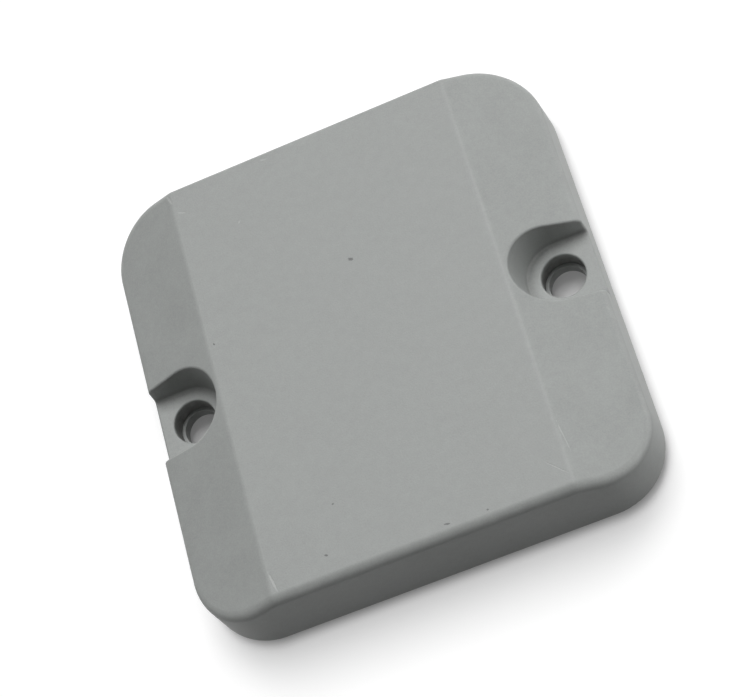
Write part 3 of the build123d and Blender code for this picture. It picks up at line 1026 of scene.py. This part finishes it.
# %% Dress the CAD nodes
node_finishes = {
    "tape_upper_adhesive": tape_adhesive_finish, "tape_lower_adhesive": tape_adhesive_finish,
    "core_bond_film": adhesive_finish, "inlay_adhesive": adhesive_finish,
    "foam_pad_adhesive": adhesive_finish, "antenna_core": core_finish, "antenna_foil": foil_finish,
    "strap_pads": foil_finish, "inlay_film": film_finish, "strap_film": film_finish,
    "strap_joints": glue_finish, "chip_bumps": bump_finish, "chip_underfill": resin_finish,
    "chip_die": silicon_finish}
for node, finish in node_finishes.items():
    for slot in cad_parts[node].material_slots:
        slot.material = finish
print("nodes dressed:", len(node_finishes))

# %% [markdown]
# ## The table, the light and the camera
# A white table has to look blank and still keep the tag's shadow. More light would bleach the tag
# too, so the table glows a little instead, for the camera and for mirrors only: it fades under the
# tag, a painted shadow where no light gets in, and grows far off, where the lamps fade. What it
# returns to the tag is set apart: grey, with a painted pool of light on the east side that lights
# the tag's east wall. The table belongs to the stage. It rides with the liner, so that it makes
# room when the liner is drawn off downwards.

# %% The table
TABLE_HALF_SIDE = 1.5
TABLE_DROP = 0.02 * MM
TABLE_GLOW = 0.52
SEEN_GREY = (0.60, 0.60, 0.60, 1)
RETURNED_GREY, RETURNED_EAST_LIGHT = (0.30, 0.30, 0.30, 1), (0.95, 0.95, 0.95, 1)


def looked_at(tree):
    """1 for the camera, mirrors and glass, 0 for light on its way to another surface."""
    path = add(tree, "ShaderNodeLightPath").outputs
    direct = larger(tree, path["Is Camera Ray"], path["Is Glossy Ray"])
    return larger(tree, direct, path["Is Transmission Ray"])


def make_table_finish():
    """Paper with a little glow, paler to the camera than in the light that it returns."""
    material, tree, point, _ = start_finish("table")
    seen = looked_at(tree)
    at = parts(tree, point)
    # Painted light: on its east side the table returns paler light, a pool that brightens the tag's
    # east wall.
    east = times(tree, ramp(tree, at["X"], 20.0, 28.0), ramp(tree, at["Y"], -32.0, -8.0))
    returned = blend_colour(tree, east, RETURNED_GREY, RETURNED_EAST_LIGHT)
    pale = {"Color": blend_colour(tree, seen, returned, SEEN_GREY)}
    # Painted shadow: the glow fades under the tag's outline.
    clear = ramp(tree, place(tree, inset_group, Point=point)["Inset"], -1.0, 1.0, 1.0, 0.2)
    far_off = ramp(tree, length_of(tree, point), 120.0, 700.0, 1.0, 2.0)
    light = {"Color": times(tree, clear, far_off), "Strength": times(tree, seen, TABLE_GLOW)}
    both = out_of(tree, "ShaderNodeAddShader", {0: out_of(tree, "ShaderNodeBsdfDiffuse", pale),
                                                1: out_of(tree, "ShaderNodeEmission", light)})
    add(tree, "ShaderNodeOutputMaterial", {"Surface": both})
    return material


def make_table():
    mesh = bpy.data.meshes.new("table")
    skin = bmesh.new()
    bmesh.ops.create_grid(skin, x_segments=8, y_segments=8, size=TABLE_HALF_SIDE)
    bmesh.ops.translate(skin, verts=skin.verts, vec=(0, 0, liner_low.z - TABLE_DROP))
    skin.to_mesh(mesh)
    skin.free()
    mesh.materials.append(make_table_finish())
    table = in_scene("table", mesh)
    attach(table, "liner")


make_table()
print("table at", round(liner_low.z / MM, 2), "mm, rides with the liner")

# %% [markdown]
# One large soft window stands high behind the tag, so the top is bright, the near wall is dark and
# the shadow falls softly towards the camera. A small low lamp fills the east wall. The rest of the
# room is a dim world, a little lighter towards the window, and plain white where it is seen.

# %% The room and the lamps
WINDOW_SIDE = (0.25, 0.75, 0.30)
ROOM_LIGHT, WINDOW_LIGHT = 0.10, 0.12


def make_room():
    world = bpy.data.worlds.new("room")
    bpy.context.scene.world = world
    world.use_nodes = True
    tree = world.node_tree
    tree.nodes.clear()
    facing = add(tree, "ShaderNodeTexCoord").outputs["Generated"]
    from_window = times(tree, share_along(tree, facing, WINDOW_SIDE), WINDOW_LIGHT)
    dim = plus(tree, ROOM_LIGHT, from_window, use_clamp=True)
    blend = {0: looked_at(tree), 2: dim, 3: 1.0}
    strength = out_of(tree, "ShaderNodeMix", blend, data_type="FLOAT")
    glow = out_of(tree, "ShaderNodeBackground", {"Color": (1, 1, 1, 1), "Strength": strength})
    add(tree, "ShaderNodeOutputWorld", {"Surface": glow})


def lamp(name, direction, distance, size, power):
    """A square area lamp that looks at the tag from a direction, in metres and watts."""
    light = bpy.data.lights.new(name, "AREA")
    light.size = size
    light.energy = power
    holder = in_scene(name, light)
    away = Vector(direction).normalized()
    holder.location = away * distance
    holder.rotation_euler = away.to_track_quat("Z", "Y").to_euler()


make_room()
lamp("window", direction=(0.06, 0.40, 0.90), distance=2.4, size=1.5, power=52.0)
lamp("side_window", direction=(0.985, 0.05, 0.03), distance=1.2, size=0.5, power=6.8)
print("lamps:", [light.name for light in bpy.data.lights])

# %% [markdown]
# The camera stands where the photograph's did. Its place was worked out from the tag's own edges,
# ridges and holes in the picture, and it looks at the tag's middle, so no lens shift is needed.

# %% The camera
EYE = Vector((39.9, -98.4, 201.8)) * MM
UPWARD = Vector((0.3239, 0.9261, 0.1936))
LENS = 100.0
NEAREST = 0.01


def make_camera():
    """The photograph's view of the tag: same side, same distance, aimed at its middle."""
    data = bpy.data.cameras.new("camera")
    data.lens = LENS
    data.clip_start = NEAREST
    holder = in_scene("camera", data)
    middle = (cad_bounds[0] + cad_bounds[1]) / 2
    back = (EYE - middle).normalized()
    right = UPWARD.cross(back).normalized()
    turn = Matrix((right, back.cross(right), back)).transposed().to_4x4()
    holder.matrix_world = Matrix.Translation(EYE) @ turn
    bpy.context.scene.camera = holder
    print("camera", round((EYE - middle).length / MM, 1), "mm from the tag's middle")


make_camera()
bpy.context.scene.view_settings.view_transform = "Standard"
